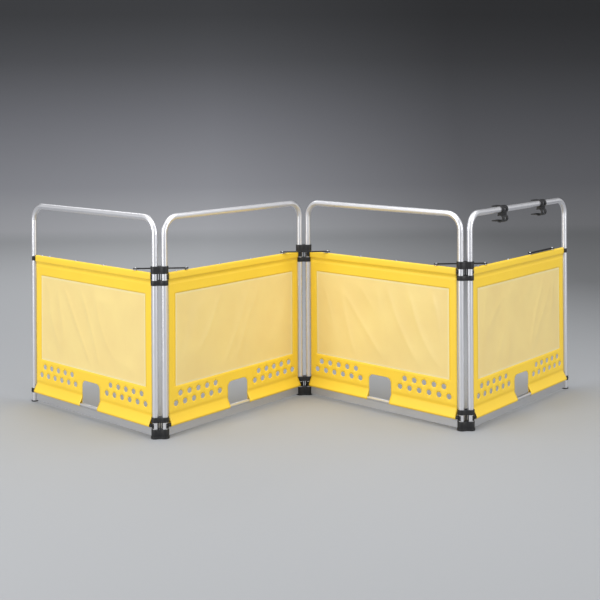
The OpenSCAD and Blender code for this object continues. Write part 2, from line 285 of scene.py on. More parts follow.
def tube_aluminium():
    """Extruded aluminium tube, satin anodised: soft bright bands with fine die lines
    along the legs, 1.5 mm apart, and a slightly cloudy oxide."""
    made, tree, shader = new_material("Anodised aluminium, extruded", Metallic=0.95)
    pattern = grain(tree, shader, (660, 660, 9), 3, 0.33, 0.43, 0.02 * MM)
    mottle(tree, shader, pattern.outputs["Fac"], linear("#E0E0E4"), linear("#F0F0F3"))
    return made


def bar_aluminium():
    """Extruded aluminium bar, mill finish: brighter than the tube and less even, with
    streaks about 3 mm wide."""
    made, tree, shader = new_material("Mill-finish aluminium, extruded", Metallic=1.0)
    pattern = grain(tree, shader, (330, 330, 330), 4, 0.24, 0.4, 0.02 * MM)
    mottle(tree, shader, pattern.outputs["Fac"], linear("#D8D8DA"), linear("#F0F0F2"))
    return made


def board_aluminium(colour):
    """Aluminium sheet, brushed and anodised grey: a flat dull sheen with streaks along
    the board, drawn 4 mm wide because the real brushing is too fine to show."""
    made, tree, shader = new_material("Anodised aluminium sheet, brushed", Metallic=0.6)
    pattern = grain(tree, shader, (14, 14, 250), 4, 0.42, 0.58, 0.03 * MM)
    mottle(tree, shader, pattern.outputs["Fac"], shade(colour, 0.88), shade(colour, 1.06))
    return made


def zinc_steel():
    """Zinc-plated steel, stamped: a small bright head with a cool tint and a fine
    pickled grain of 1 mm."""
    made, tree, shader = new_material("Zinc-plated steel, stamped", Metallic=1.0)
    pattern = grain(tree, shader, (1000, 1000, 1000), 2, 0.22, 0.38, 0.02 * MM)
    mottle(tree, shader, pattern.outputs["Fac"], linear("#C6C9CE"), linear("#E8EAEE"))
    return made


def black_screw():
    """Black-oxided steel screw, rolled: nearly black with a dull oily gloss and 1 mm
    patches."""
    made, tree, shader = new_material("Black-oxide steel, rolled", Metallic=0.9)
    pattern = grain(tree, shader, (900, 900, 900), 2, 0.32, 0.5, 0.02 * MM)
    mottle(tree, shader, pattern.outputs["Fac"], linear("#2A2B2E"), linear("#45464B"))
    return made


def black_nylon():
    """Glass-filled nylon, injection moulded: charcoal with a dull sheen and a spark-eroded
    texture, drawn at 1.2 mm because the real 0.3 mm grain is too fine to show."""
    made, tree, shader = new_material("Glass-filled nylon, moulded", IOR=1.53)
    pattern = grain(tree, shader, (830, 830, 830), 3, 0.36, 0.52, 0.06 * MM)
    mottle(tree, shader, pattern.outputs["Fac"], linear("#0C0C0E"), linear("#19191C"))
    return made


def black_coating():
    """Powder-coated steel strip: black, with the coating's 2 mm orange peel and a soft
    gloss."""
    made, tree, shader = new_material("Powder-coated steel, stamped", IOR=1.4)
    pattern = grain(tree, shader, (500, 500, 500), 2, 0.55, 0.7, 0.05 * MM)
    mottle(tree, shader, pattern.outputs["Fac"], linear("#0B0B0D"), linear("#151518"))
    return made


# The wave texture's scale that repeats every 4.4 mm.
THREAD_SCALE = 72


def coated_fabric(colour):
    """PVC-coated polyester, calendered: strong warm yellow with a soft sheen. The base
    cloth's threads show through as a weave, drawn 4.4 mm apart up the sheet and 6.2 mm apart
    along it because the real 0.7 mm is too fine to show, and the coat is a little cloudy
    over 120 mm."""
    made, tree, shader = new_material(
        "PVC-coated polyester, calendered", IOR=1.53, Coat_Weight=0.08, Coat_Roughness=0.3
    )
    clouds = add_node(
        tree,
        "ShaderNodeTexNoise",
        {"Vector": place_of(tree, (8, 8, 5)), "Scale": 1.0, "Detail": 3},
    )
    mottle(tree, shader, clouds.outputs["Fac"], shade(colour, 0.95), shade(colour, 1.04))
    across, along = (
        add_node(
            tree,
            "ShaderNodeTexWave",
            {"Vector": place_of(tree, scale), "Scale": THREAD_SCALE, "Distortion": 0.4},
            wave_type="BANDS",
            bands_direction=direction,
        )
        for scale, direction in (((1, 1, 0), "X"), ((0, 0, 1), "Z"))
    )
    weave = add_node(
        tree,
        "ShaderNodeMath",
        {0: across.outputs["Fac"], 1: along.outputs["Fac"]},
        operation="MULTIPLY",
    )
    rough = add_node(
        tree,
        "ShaderNodeMapRange",
        {"Value": clouds.outputs["Fac"], "To Min": 0.4, "To Max": 0.54},
    )
    tree.links.new(rough.outputs["Result"], shader.inputs["Roughness"])
    lift = add_node(
        tree,
        "ShaderNodeBump",
        {"Height": weave.outputs["Value"], "Distance": 0.05 * MM, "Strength": 0.5},
    )
    tree.links.new(lift.outputs["Normal"], shader.inputs["Normal"])
    return made


def window_film(name, colour, low, high):
    """PVC film, cast and matt: milky yellow that lets a little light through, with faint
    clouds about 150 mm wide and a soft gloss on its wrinkles."""
    made, tree, shader = new_material(
        name, IOR=1.54, Transmission_Weight=0.06, Coat_Weight=0.35, Coat_Roughness=0.28
    )
    pattern = grain(tree, shader, (7, 7, 6), 3, low, high, 0.5 * MM)
    mottle(tree, shader, pattern.outputs["Fac"], shade(colour, 0.9), shade(colour, 1.07))
    return made


# The backdrop's colour: its fade's height, its painted shade to the right where the light falls
# off, and (height, colour).
PAPER_FADE_TOP = 2.9
PAPER_DEPTH = (0.5, 3.5)
PAPER_SIDE = (-0.6, 2.6)
PAPER_RIGHT = 0.5
PAPER_STOPS = (
    (0.0, "#A5A7AA"),
    (0.06, "#AEAFB3"),
    (0.475, "#93949A"),
    (1.28, "#7A7B81"),
    (2.085, "#595A5E"),
    (2.69, "#47484B"),
)


def fade_along(tree, axis, low, high):
    """0 where an axis's coordinate is low, rising to 1 where it is high."""
    return add_node(
        tree,
        "ShaderNodeMapRange",
        {"Value": axis, "From Min": low, "From Max": high},
    ).outputs["Result"]


def studio_paper():
    """Backdrop paper: pale grey floor that darkens up the wall, with painted shade towards the
    right where the light falls off, and a faint 20 mm unevenness."""
    made, tree, shader = new_material("Backdrop paper, graded, with painted shade")
    grain(tree, shader, (50, 50, 50), 2, 0.85, 0.95, 0.02 * MM)
    where = add_node(tree, "ShaderNodeTexCoord")
    axes = add_node(tree, "ShaderNodeSeparateXYZ", {"Vector": where.outputs["Object"]})
    rise = fade_along(tree, axes.outputs["Z"], 0.0, PAPER_FADE_TOP)
    ramp = add_node(tree, "ShaderNodeValToRGB", {"Fac": rise})
    stops = ramp.color_ramp.elements
    while len(stops) < len(PAPER_STOPS):
        stops.new(0.5)
    for stop, (height, code) in zip(stops, PAPER_STOPS):
        stop.position = height / PAPER_FADE_TOP
        stop.color = (*linear(code), 1)
    # Painted shade: the colour darkens towards the right at the back, where the light falls off.
    depth = fade_along(tree, axes.outputs["Y"], *PAPER_DEPTH)
    side = fade_along(tree, axes.outputs["X"], *PAPER_SIDE)
    shade_right = add_node(tree, "ShaderNodeMath", {0: side, 1: depth}, operation="MULTIPLY")
    mix = add_node(
        tree,
        "ShaderNodeMix",
        {
            "Factor": shade_right.outputs["Value"],
            "A": ramp.outputs["Color"],
            "B": (0, 0, 0, 1),
        },
        data_type="RGBA",
    )
    dim = add_node(
        tree,
        "ShaderNodeMix",
        {"Factor": PAPER_RIGHT, "A": ramp.outputs["Color"], "B": mix.outputs["Result"]},
        data_type="RGBA",
    )
    tree.links.new(dim.outputs["Result"], shader.inputs["Base Color"])
    return made


def finish_nodes(names, material):
    """Gives CAD nodes a material in their objects' own slots."""
    for name in names:
        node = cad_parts[name]
        if not node.material_slots:
            node.data.materials.append(material)
        for slot in node.material_slots:
            slot.material = material


# ---- places ----


def panel_matrix(n):
    """Panel n's own frame: its left leg's axis at floor level, x towards its right leg."""
    low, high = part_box(f"hoop_{n}")
    near, far = low.y + TUBE_R, high.y - TUBE_R
    start, end = (far, near) if n % 2 else (near, far)
    heading = math.atan2(end - start, high.x - low.x - 2 * TUBE_R)
    at = Matrix.Translation((low.x + TUBE_R, start, 0))
    return at @ Matrix.Rotation(heading, 4, "Z")


def hinge_matrix(pair):
    """A hinge block's frame: x from its first leg's axis to its second's."""
    left, right = panel_matrix(int(pair[0])), panel_matrix(int(pair[1]))
    low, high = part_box(f"top_hinge_{pair}")
    middle = (low + high) / 2
    half = right.translation.x - middle.x
    return Matrix.Translation((middle.x - half, right.translation.y, 0))


def hinge_pitch():
    """Distance between the legs in a hinge block."""
    low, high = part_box("top_hinge_12")
    return 2 * (panel_matrix(2).translation.x - (low.x + high.x) / 2)


def new_piece(name, mesh, material, body, slot, *nodes):
    """A visible piece with a material that rides on a body and stands for CAD nodes."""
    piece = bpy.data.objects.new(name, mesh)
    bpy.context.scene.collection.objects.link(piece)
    for one in material if isinstance(material, (list, tuple)) else [material]:
        mesh.materials.append(one)
    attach(piece, body)
    if nodes:
        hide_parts(*nodes)
    return piece


def smooth_by_angle(mesh):
    """Smooth shading, with the sharper edges kept."""
    mesh.shade_smooth()
    made = bmesh.new()
    made.from_mesh(mesh)
    for edge in made.edges:
        if len(edge.link_faces) == 2:
            edge.smooth = edge.calc_face_angle(0) < SHARP_ANGLE
    made.to_mesh(mesh)
    made.free()


def solidify(piece, thickness):
    """Gives a surface its thickness, half on each side."""
    shell = piece.modifiers.new("Thickness", "SOLIDIFY")
    shell.thickness = thickness
    shell.offset = 0


# ---- the sheet's section and its flat cut ----


def arc(centre, radius, start, end):
    """Points on an arc in y and z, from one angle to another in degrees."""
    turn = math.radians(end - start)
    count = max(1, math.ceil(abs(turn) / ARC_STEP))
    angles = [math.radians(start) + turn * i / count for i in range(count + 1)]
    return [(centre[0] + radius * math.cos(a), centre[1] + radius * math.sin(a)) for a in angles]


# The bar and the rod inside the hems, and the hems round them; angles in degrees.
BAR_MIDDLE = (BAR_LOW.z + BAR_HIGH.z) / 2
BAR_T = 14 * MM
ROD_FORWARD = 12 * MM
ROD_MIDDLE = (ROD_LOW.z + ROD_HIGH.z) / 2
ROD_R = (ROD_HIGH.z - ROD_LOW.z) / 2
HEM_GAP = 0.2 * MM
HEM_BACK_END = -62
HEM_FACE_END = 250
ROD_HEM_END = 390
TOP_LAP = 8 * MM
LAYER_PITCH = 1.06

# The lower weld's place, its bare start behind the sheet, and its pressed edge.
WELD_Y = -3 * MM
WELD_Z = 92 * MM
WELD_START = 1 * MM
PRESS_HALF = 0.3 * MM

# The sheet's outline, its window, its cable cut-out with the step round a corner in degrees,
# and its rows of vents (height, count, outermost x).
SHEET_X0 = 20 * MM
SHEET_X1 = 900 * MM
LEG_PITCH = 920 * MM
WINDOW_LAP = 10 * MM
WINDOW_SIDE = 42 * MM
CUT_W = 132 * MM
CUT_TOP = 172 * MM
CUT_R = 26 * MM
CUT_STEP = 15
VENT_ROWS = ((142 * MM, 6, 64 * MM), (184 * MM, 5, 91.6 * MM))
VENT_SIDES = 28
VENT_EDGE = 0.99

# The grids that let sheet and film bend, their distance from a cut edge, and the film's
# rows of cells on each side that are its lap and its milky border.
GRID_X = 11 * MM
GRID_Z = 12 * MM
GRID_GAP = 2.5 * MM
GRID_SNAP = 1 * MM
FILM_GRID_X = 8 * MM
FILM_GRID_Z = 10 * MM
FILM_GAP = 0.1 * MM
RIM_CELLS = 2

# How far from a held edge the sheet and the film come to stand free, and the sizes of their
# waves across and up, in metres.
HOLD = 90 * MM
FILM_FLAT = 9 * MM
SOFT_WAVE = (0.19, 0.42)
SMALL_WAVE = (0.07, 0.16)
FOLD_WAVE = (0.13, 0.5)
FOLD_LEAN = 0.45
BROAD_WAVE = (0.2, 0.24)


def web_top(sheet_t):
    """Where the leaning sheet leaves the top bar."""
    radius = BAR_T / 2 + HEM_GAP + sheet_t / 2
    low = BAR_LOW.z + BAR_T / 2
    turn = math.radians(HEM_FACE_END)
    return radius * math.cos(turn), low + radius * math.sin(turn)


def web_y(z, sheet_t):
    """Middle of the leaning sheet at a height, between its two hems."""
    top_y, top_z = web_top(sheet_t)
    return WELD_Y + (top_y - WELD_Y) * (z - WELD_Z) / (top_z - WELD_Z)


def pressed(z, sizes):
    """How far the welding wheel pressed the sheet in at a height."""
    high = web_top(sizes.thickness)[1] - TOP_LAP
    in_weld = z <= WELD_Z + sizes.weld or high - sizes.weld <= z <= high
    return sizes.weld_depth if in_weld else 0.0


def profile(sizes):
    """The sheet's section as rows (y, z), from the weld behind the bar, over it, down the
    face, round the rod and up to the weld behind; and the first and last row of its face."""
    sheet_t = sizes.thickness
    around = BAR_T / 2 + HEM_GAP + sheet_t / 2
    low, high = BAR_LOW.z + BAR_T / 2, BAR_HIGH.z - BAR_T / 2
    top_z = web_top(sheet_t)[1]
    weld_high = top_z - TOP_LAP
    behind = sheet_t * LAYER_PITCH + sizes.weld_depth
    rows = [(web_y(z, sheet_t) + behind, z) for z in (weld_high - sizes.weld, weld_high)]
    rows += arc((0, low), around, HEM_BACK_END, 0)
    rows += arc((0, high), around, 0, 180)
    rows += arc((0, low), around, 180, HEM_FACE_END)
    first = len(rows) - 1
    marks = [weld_high, weld_high - sizes.weld, WELD_Z + sizes.weld]
    marks = [z + side for z in marks for side in (-PRESS_HALF, PRESS_HALF)]
    count = math.ceil((top_z - WELD_Z) / GRID_Z)
    steps = [top_z + (WELD_Z - top_z) * i / count for i in range(1, count + 1)]
    steps = [z for z in steps if min(abs(z - mark) for mark in marks) > GRID_Z / 4]
    for z in sorted(steps + marks, reverse=True):
        rows.append((web_y(z, sheet_t) + pressed(z, sizes), z))
    last = len(rows) - 1
    rod, rod_hem = (-ROD_FORWARD, ROD_MIDDLE), ROD_R + HEM_GAP + sheet_t / 2
    rise = (WELD_Y + sizes.weld_depth - rod[0], WELD_Z - rod[1])
    tangent = math.atan2(rise[1], rise[0]) + math.acos(rod_hem / math.hypot(*rise))
    rows += arc(rod, rod_hem, math.degrees(tangent), ROD_HEM_END)
    rows += [(web_y(z, sheet_t) + behind, z) for z in (WELD_Z + WELD_START, WELD_Z + sizes.weld)]
    return rows, first, last


def lengths(rows):
    """Distance along the section to each row."""
    out = [0.0]
    for a, b in zip(rows, rows[1:]):
        out.append(out[-1] + math.dist(a, b))
    return out


def notch_half(along_below):
    """Half width of the cable cut-out, at a distance below its top edge."""
    if along_below >= CUT_R:
        return CUT_W / 2
    return CUT_W / 2 - CUT_R + math.sqrt(CUT_R**2 - (CUT_R - along_below) ** 2)


def flat_cut(sizes):
    """The sheet's flat cut as triangles: points (x, distance along the section)."""
    rows, first, last = profile(sizes)
    at = lengths(rows)
    top_z = web_top(sizes.thickness)[1]
    lean = (at[last] - at[first]) / (top_z - WELD_Z)

    def down(z):
        return at[first] + (top_z - z) * lean

    middle = (SHEET_X0 + SHEET_X1) / 2
    end = at[-1]
    x0, x1 = SHEET_X0 + WINDOW_SIDE, SHEET_X1 - WINDOW_SIDE
    z0, z1 = down(FILM_HIGH.z - WINDOW_LAP), down(FILM_LOW.z + WINDOW_LAP)
    columns = grid_columns(x0, x1, middle)
    wide = [x for x in columns if x0 < x < x1]
    tall = [s for s in at if z0 + GRID_SNAP < s < z1 - GRID_SNAP]
    opening = [(x0, z0)] + [(x, z0) for x in wide] + [(x1, z0)] + [(x1, s) for s in tall]
    opening += [(x1, z1)] + [(x, z1) for x in reversed(wide)] + [(x0, z1)]
    opening += [(x0, s) for s in reversed(tall)]
    loops = [opening]
    vents = []
    for z, count, outer in VENT_ROWS:
        for i in range(count):
            x = outer + i * sizes.vent_pitch
            vents += [(x, down(z)), (LEG_PITCH - x, down(z))]
    r = sizes.vent / 2
    turns = [2 * math.pi * k / VENT_SIDES for k in range(VENT_SIDES)]
    loops += [[(x + r * math.cos(a), s + r * math.sin(a)) for a in turns] for x, s in vents]
    cut = down(CUT_TOP)
    corner = [
        (CUT_W / 2 - CUT_R + CUT_R * math.sin(a), cut + CUT_R - CUT_R * math.cos(a))
        for a in (math.radians(CUT_STEP * k) for k in range(90 // CUT_STEP + 1))
    ]
    side = [(CUT_W / 2, s) for s in at if s > cut + CUT_R + 2 * GRID_SNAP]
    half = corner + side
    notch = [(middle - x, s) for x, s in reversed(half)] + [(middle + x, s) for x, s in half]
    outline = (
        [(x, 0.0) for x in reversed(columns)]
        + [(SHEET_X0, s) for s in at[1:]]
        + [(x, end) for x in columns if SHEET_X0 < x < middle - CUT_W / 2 - GRID_SNAP]
        + notch
        + [(x, end) for x in columns if x > middle + CUT_W / 2 + GRID_SNAP]
        + [(SHEET_X1, s) for s in reversed(at[1:-1])]
    )

    def outside(x, s, gap):
        if x0 - gap < x < x1 + gap and z0 - gap < s < z1 + gap:
            return True
        if s > cut - gap and abs(x - middle) < notch_half(max(0.0, s - cut + gap)) + gap:
            return True
        return any((x - a) ** 2 + (s - b) ** 2 < (r * VENT_EDGE + gap) ** 2 for a, b in vents)

    points, edges = [], []
    for loop in [outline] + loops:
        base = len(points)
        points += loop
        edges += [(base + i, base + (i + 1) % len(loop)) for i in range(len(loop))]
    for s in at[1:-1]:
        for x in columns[1:-1]:
            if not outside(x, s, GRID_GAP):
                points.append((x, s))
    made = geometry.delaunay_2d_cdt([Vector(p) for p in points], edges, [], 0, 1e-7)
    flat, faces = [tuple(v) for v in made[0]], []
    for face in made[2]:
        x = sum(flat[i][0] for i in face) / 3
        s = sum(flat[i][1] for i in face) / 3
        if not outside(x, s, 0.0):
            faces.append(face)
    area = sum(
        abs(geometry.area_tri(*[Vector((*flat[i], 0)) for i in face])) for face in faces
    )
    return {
        "rows": rows,
        "at": at,
        "face": (at[first], at[last]),
        "flat": flat,
        "faces": faces,
        "area": area,
        "length": end,
    }


def grid_columns(x0, x1, middle):
    """Columns of the sheet's grid, through the window's and the cut-out's sides."""
    marks = [SHEET_X0, x0, middle - CUT_W / 2, middle + CUT_W / 2, x1, SHEET_X1]
    out = [marks[0]]
    for a, b in zip(marks, marks[1:]):
        count = math.ceil((b - a) / GRID_X)
        out += [a + (b - a) * i / count for i in range(1, count + 1)]
    return out


def fade(value, low, high):
    """0 below low, 1 above high and smooth between."""
    t = min(1.0, max(0.0, (value - low) / (high - low)))
    return t * t * (3 - 2 * t)


def wave(x, z, size, place):
    """Smooth noise from -1 to 1 in waves of a size, taken at a place of its own."""
    return noise.noise(Vector((x / size[0], z / size[1], place)))


def billow(x, z, n, sizes):
    """How far the sheet of panel n stands out of its plane at a place."""
    hold = fade(z, WELD_Z, WELD_Z + HOLD) * fade(-z, -BAR_LOW.z, -BAR_LOW.z + HOLD)
    soft = wave(x, z, SOFT_WAVE, 7.3 * n)
    small = wave(x, z, SMALL_WAVE, 3.1 * n + 40)
    return sizes.slack * hold * (1.5 * soft + 0.4 * small)


def ripple(x, z, n, sizes):
    """How far the film of panel n stands out beyond the sheet at a place."""
    low, high = FILM_LOW.z + WINDOW_LAP, FILM_HIGH.z - WINDOW_LAP
    left, right = SHEET_X0 + WINDOW_SIDE, SHEET_X1 - WINDOW_SIDE
    edge = min(x - left, right - x, z - low, high - z)
    hold = fade(edge, FILM_FLAT, HOLD)
    lean = x + FOLD_LEAN * (z - low) * (1 if n % 2 else -1)
    folds = 1 - 2 * abs(wave(lean, z, FOLD_WAVE, 11.7 * n))
    broad = wave(x, z, BROAD_WAVE, 5.9 * n + 20)
    return sizes.film_slack * hold * (0.9 * folds**3 + 1.2 * broad)


def sheet_mesh(n, cut, sizes):
    """The sheet of panel n: its flat cut laid along the section, in the row frame."""
    rows, at = cut["rows"], cut["at"]
    to_row = panel_matrix(n)
    points = []
    for x, s in cut["flat"]:
        k = min(len(at) - 2, max(0, bisect.bisect_right(at, s) - 1))
        t = (s - at[k]) / (at[k + 1] - at[k])
        y = rows[k][0] + t * (rows[k + 1][0] - rows[k][0])
        z = rows[k][1] + t * (rows[k + 1][1] - rows[k][1])
        if cut["face"][0] < s < cut["face"][1]:
            y -= billow(x, z, n, sizes)
        points.append(to_row @ Vector((x, y, z)))
    mesh = bpy.data.meshes.new(f"sheet_cloth_{n}")
    mesh.from_pydata(points, [], cut["faces"])
    mesh.validate()
    mesh.shade_smooth()
    return mesh


def film_mesh(n, sizes):
    """The window film of panel n, behind the sheet's opening, in the row frame."""
    to_row = panel_matrix(n)
    left, right = SHEET_X0 + WINDOW_SIDE, SHEET_X1 - WINDOW_SIDE
    low, high = FILM_LOW.z + WINDOW_LAP, FILM_HIGH.z - WINDOW_LAP

    def lines(a, b, step):
        inner_a, inner_b = a + sizes.border, b - sizes.border
        count = math.ceil((inner_b - inner_a) / step)
        inner = [inner_a + (inner_b - inner_a) * i / count for i in range(count + 1)]
        return [a - WINDOW_LAP, a] + inner + [b, b + WINDOW_LAP]

    xs, zs = lines(left, right, FILM_GRID_X), lines(low, high, FILM_GRID_Z)
    back = (sizes.thickness + sizes.film) / 2 + FILM_GAP
    points = []
    for z in zs:
        for x in xs:
            y = web_y(z, sizes.thickness) + back - billow(x, z, n, sizes)
            points.append(to_row @ Vector((x, y - ripple(x, z, n, sizes), z)))
    wide = len(xs)
    faces, border = [], []
    for j in range(len(zs) - 1):
        for i in range(wide - 1):
            a = j * wide + i
            faces.append((a, a + 1, a + wide + 1, a + wide))
            border.append(min(i, j, wide - 2 - i, len(zs) - 2 - j) < RIM_CELLS)
    mesh = bpy.data.meshes.new(f"window_film_{n}")
    mesh.from_pydata(points, [], faces)
    mesh.shade_smooth()
    for face, edge in zip(mesh.polygons, border):
        face.material_index = 1 if edge else 0
    return mesh


# ---- plates with rounded edges ----


def plate(outline, holes, thickness, edge, z=0.0):
    """Points and faces of a flat plate with holes and rounded edges, standing on z."""
    curve = bpy.data.curves.new("plate", "CURVE")
    curve.dimensions = "2D"
    curve.fill_mode = "BOTH"
    curve.extrude = thickness / 2 - edge
    curve.bevel_depth = edge
    curve.bevel_resolution = 2
    curve.offset = -edge
    for loop in [outline] + list(holes):
        line = curve.splines.new("POLY")
        line.points.add(len(loop) - 1)
        for point, (x, y) in zip(line.points, loop):
            point.co = (x, y, 0, 1)
        line.use_cyclic_u = True
    holder = bpy.data.objects.new("plate", curve)
    bpy.context.scene.collection.objects.link(holder)
    mesh = bpy.data.meshes.new_from_object(
        holder.evaluated_get(bpy.context.evaluated_depsgraph_get())
    )
    bpy.data.objects.remove(holder)
    bpy.data.curves.remove(curve)
    made = bmesh.new()
    made.from_mesh(mesh)
    bmesh.ops.remove_doubles(made, verts=made.verts, dist=1e-6)
    bmesh.ops.recalc_face_normals(made, faces=made.faces)
    bmesh.ops.translate(made, vec=(0, 0, z + thickness / 2), verts=made.verts)
    made.to_mesh(mesh)
    made.free()
    return mesh


def joined(name, parts, matrix):
    """One mesh of several shells, moved by a matrix; removes the shells."""
    made = bmesh.new()
    for part in parts:
        made.from_mesh(part)
        bpy.data.meshes.remove(part)
    bmesh.ops.transform(made, matrix=matrix, verts=made.verts)
    mesh = bpy.data.meshes.new(name)
    made.to_mesh(mesh)
    made.free()
    smooth_by_angle(mesh)
    return mesh


def swing(x, y, radius, start, turn, count):
    """Points of an arc in a plate's plane, from an angle through a turn in radians."""
    angles = [start + turn * i / count for i in range(count + 1)]
    return [(x + radius * math.cos(a), y + radius * math.sin(a)) for a in angles]


def circle(x, y, radius, count=48):
    """Points of a circle."""
    turns = [2 * math.pi * i / count for i in range(count)]
    return [(x + radius * math.cos(a), y + radius * math.sin(a)) for a in turns]


ROUND_STEPS = 24
WAIST_STEPS = 12


def knuckles(pitch, radius, waist):
    """Outline round two legs that draws in between them by waist."""
    out = []
    for x, start in ((pitch, -math.pi / 2), (0.0, math.pi / 2)):
        out += swing(x, 0.0, radius, start, math.pi, ROUND_STEPS)
        side = 1 if x else -1
        for i in range(1, WAIST_STEPS):
            t = i / WAIST_STEPS
            dip = waist * math.sin(math.pi * t) ** 2
            out.append((x - side * pitch * t, side * (radius - dip)))
    return out


# ---- operators ----


class BARRIER_OT_metal(bpy.types.Operator):
    """Finishes the hoops, bars, rods, toe boards and fixings"""

    bl_idname = "barrier.metal"
    bl_label = "Finish Metal Parts"

    def execute(self, context):
        finishes = context.scene.barrier_finishes
        tube, bar, zinc = tube_aluminium(), bar_aluminium(), zinc_steel()
        board = board_aluminium(tuple(finishes.board))
        for n in PANELS:
            finish_nodes([f"hoop_{n}"], tube)
            finish_nodes([f"top_bar_{n}", f"bottom_rod_{n}"], bar)
            finish_nodes([f"toe_board_{n}"], board)
            finish_nodes([f"board_rivets_{n}", f"studs_{n}", f"link_snap_{n}"], zinc)
        return {"FINISHED"}


class BARRIER_OT_fittings(bpy.types.Operator):
    """Finishes the end fittings, their screws, the foot caps and the double clips"""

    bl_idname = "barrier.fittings"
    bl_label = "Finish Plastic Fittings"

    def execute(self, context):
        nylon, screw = black_nylon(), black_screw()
        for n in PANELS:
            finish_nodes([f"end_fittings_{n}"], nylon)
            finish_nodes([f"fitting_screws_{n}"], screw)
        finish_nodes(["foot_cap_left", "foot_cap_right"], nylon)
        finish_nodes(["double_clip_1", "double_clip_2"], nylon)
        return {"FINISHED"}


class BARRIER_OT_sheets(bpy.types.Operator):
    """Makes the yellow sheets and the films in their windows"""

    bl_idname = "barrier.sheets"
    bl_label = "Make Sheets"

    def execute(self, context):
        sizes, finishes = context.scene.barrier_sheet, context.scene.barrier_finishes
        yellow = coated_fabric(tuple(finishes.yellow))
        film = window_film("PVC film, cast", tuple(finishes.film), low=0.3, high=0.44)
        border = window_film("PVC film, welded", tuple(finishes.border), low=0.4, high=0.5)
        cut = flat_cut(sizes)
        for n in PANELS:
            sheet = new_piece(
                f"cloth_{n}", sheet_mesh(n, cut, sizes), yellow, f"panel_{n}",
                "yellow_pvc", f"sheet_{n}",
            )
            solidify(sheet, sizes.thickness)
            pane = new_piece(
                f"film_{n}", film_mesh(n, sizes), [film, border], f"panel_{n}",
                "window_film", f"window_{n}",
            )
            solidify(pane, sizes.film)
        return {"FINISHED"}


# A hinge block: its open middle, the web through it, its ribs and its closed foot.
SLOT_H = 30 * MM
BORE_GAP = 0.1 * MM
WEB_T = 3.5 * MM
WEB_INSET = 5 * MM
WEB_LAP = 2 * MM
WEB_EDGE = 1 * MM
RIB_T = 4 * MM
RIB_OUT = 0.9 * MM
RIB_EDGE = 0.8 * MM
RIB_INSET = 3 * MM
FOOT_T = 5 * MM
FOOT_BAND = 6 * MM
FOOT_LAP = 0.5 * MM
FOOT_EDGE = 1.2 * MM


class BARRIER_OT_hinges(bpy.types.Operator):
    """Makes the moulded hinge blocks at the top and foot of each pair of legs"""

    bl_idname = "barrier.hinges"
    bl_label = "Make Hinge Blocks"

    def execute(self, context):
        sizes = context.scene.barrier_fittings
        nylon = black_nylon()
        pitch, bore = hinge_pitch(), TUBE_R + BORE_GAP
        radius = (BLOCK_HIGH.y - BLOCK_LOW.y) / 2
        holes = [circle(0, 0, bore), circle(pitch, 0, bore)]
        band = knuckles(pitch, radius, sizes.waist)
        rib = knuckles(pitch, radius + RIB_OUT, sizes.waist)
        foot = knuckles(pitch, radius + sizes.foot_flare, sizes.waist)
        edge = sizes.round_edge
        web_half, web_end = WEB_T / 2, radius - WEB_INSET
        web = [
            (pitch / 2 + x * web_half, y * web_end)
            for x, y in ((-1, -1), (1, -1), (1, 1), (-1, 1))
        ]
        web_h = SLOT_H + 2 * WEB_LAP
        for pair in HINGES:
            at = hinge_matrix(pair)
            low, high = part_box(f"top_hinge_{pair}")
            slot_low, slot_high = BAR_MIDDLE - SLOT_H / 2, BAR_MIDDLE + SLOT_H / 2
            parts = [
                plate(band, holes, high.z - slot_high, edge, slot_high),
                plate(band, holes, slot_low - low.z, edge, low.z),
                plate(web, [], web_h, WEB_EDGE, slot_low - WEB_LAP),
            ]
            rise = high.z - slot_high - 2 * RIB_INSET - RIB_T
            for i in range(sizes.ribs):
                z = slot_high + RIB_INSET + i * rise / max(1, sizes.ribs - 1)
                parts.append(plate(rib, holes, RIB_T, RIB_EDGE, z))
            new_piece(
                f"block_top_{pair}", joined("block", parts, at), nylon, f"hinge_{pair}",
                "black_nylon", f"top_hinge_{pair}",
            )
            low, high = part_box(f"bottom_hinge_{pair}")
            slot_low, slot_high = ROD_MIDDLE - SLOT_H / 2, ROD_MIDDLE + SLOT_H / 2
            parts = [
                plate(foot, [], FOOT_T, FOOT_EDGE, 0.0),
                plate(foot, holes, FOOT_BAND, FOOT_EDGE, FOOT_T - FOOT_LAP),
                plate(band, holes, slot_low - FOOT_T, edge, FOOT_T),
                plate(band, holes, high.z - slot_high, edge, slot_high),
                plate(web, [], web_h, WEB_EDGE, slot_low - WEB_LAP),
                plate(rib, holes, RIB_T, RIB_EDGE, slot_high + RIB_INSET),
            ]
            new_piece(
                f"block_foot_{pair}", joined("block", parts, at), nylon, f"hinge_{pair}",
                "black_nylon", f"bottom_hinge_{pair}",
            )
        return {"FINISHED"}


# A stay link: its pivot on the panel, its round ends and the straight neck between them.
LINK_PIVOT_X = 788 * MM
LINK_END_R = 11 * MM
LINK_NECK = 7.5 * MM
LINK_NECK_START = 1.9
LINK_POST_R = 3.1 * MM
LINK_END_FROM = math.radians(60)
LINK_END_TURN = math.radians(240)


